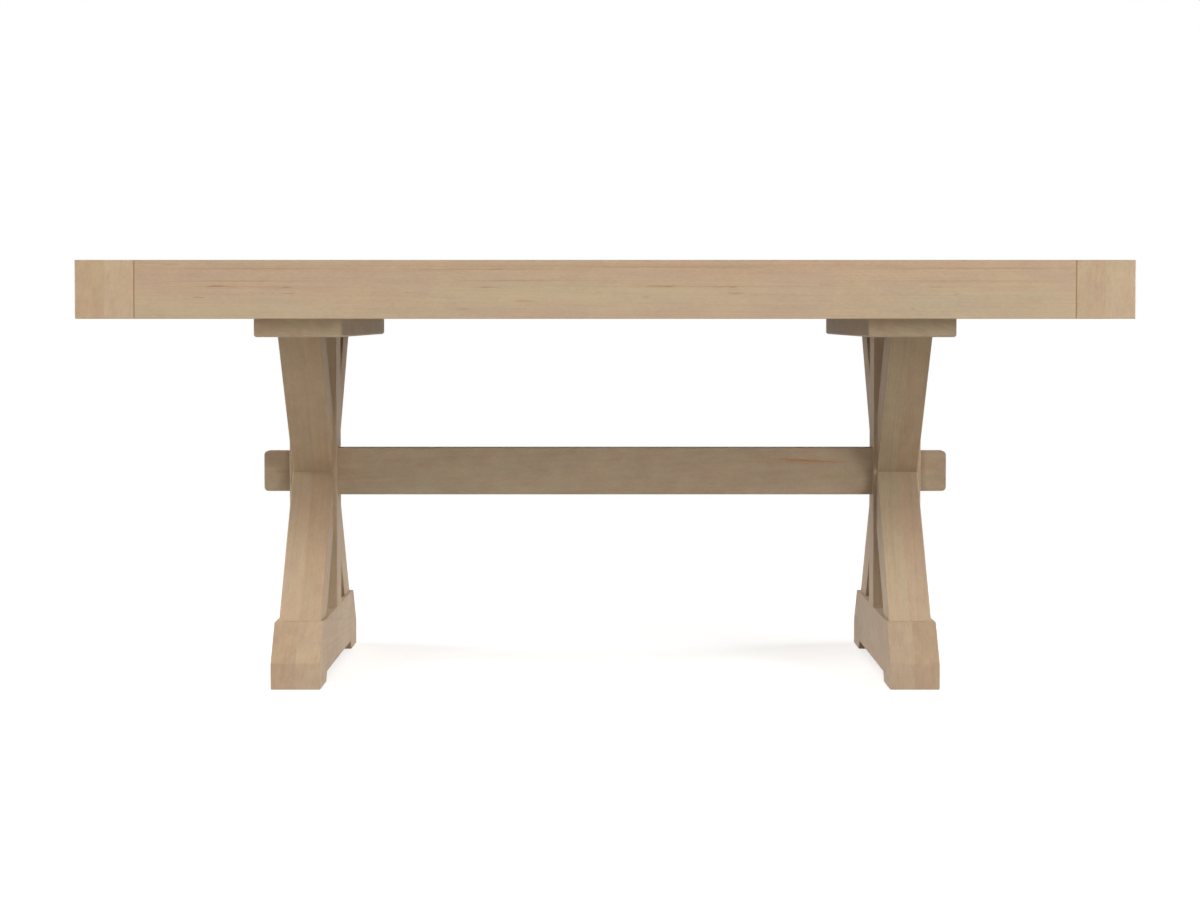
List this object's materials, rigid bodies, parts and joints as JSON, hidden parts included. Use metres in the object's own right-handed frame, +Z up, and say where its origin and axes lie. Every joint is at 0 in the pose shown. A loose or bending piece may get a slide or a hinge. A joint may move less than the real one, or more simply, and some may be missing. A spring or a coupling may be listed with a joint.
{
  "type": "sawbuck dining table",
  "caption": "Rectangular wooden dining table: a deep-edged plank top with breadboard ends on two braced X trestles, tied by a stretcher whose tenons pass through the posts.",
  "frame": {"origin": "on the floor, under the middle of the top", "axes": "+X along the table's length, +Y across it with the front edge at -Y, +Z up"},
  "size_m": [1.8288, 1.0668, 0.762],
  "materials": {
    "maple_top": "bare sanded maple, matt",
    "maple_base": "bare sanded maple, matt",
    "dowel_wood": "bare birch dowel, matt",
    "zinc_steel": "zinc plated, satin",
    "insert_brass": "machined brass"
  },
  "bodies": {
    "root": {"back_edge_rail": "maple_top", "brace_end_dowels": "dowel_wood", "brace_post_dowels": "dowel_wood", "cross_batten_1": "maple_base", "cross_batten_2": "maple_base", "cross_batten_3": "maple_base", "cross_batten_4": "maple_base", "cross_batten_5": "maple_base", "edge_rail_dowels": "dowel_wood", "front_edge_rail": "maple_top", "left_back_lower_brace": "maple_base", "left_back_upper_brace": "maple_base", "left_breadboard_end": "maple_top", "left_foot": "maple_base", "left_front_lower_brace": "maple_base", "left_front_upper_brace": "maple_base", "left_post": "maple_base", "left_top_plate": "maple_base", "plank_screws": "zinc_steel", "plate_bolts": "zinc_steel", "plate_washers": "zinc_steel", "right_back_lower_brace": "maple_base", "right_back_upper_brace": "maple_base", "right_breadboard_end": "maple_top", "right_foot": "maple_base", "right_front_lower_brace": "maple_base", "right_front_upper_brace": "maple_base", "right_post": "maple_base", "right_top_plate": "maple_base", "stretcher": "maple_base", "stretcher_pegs": "dowel_wood", "threaded_inserts": "insert_brass", "top_plank_1": "maple_top", "top_plank_2": "maple_top", "top_plank_3": "maple_top", "top_plank_4": "maple_top", "top_plank_5": "maple_top", "top_plank_6": "maple_top"}
  },
  "joints": []
}
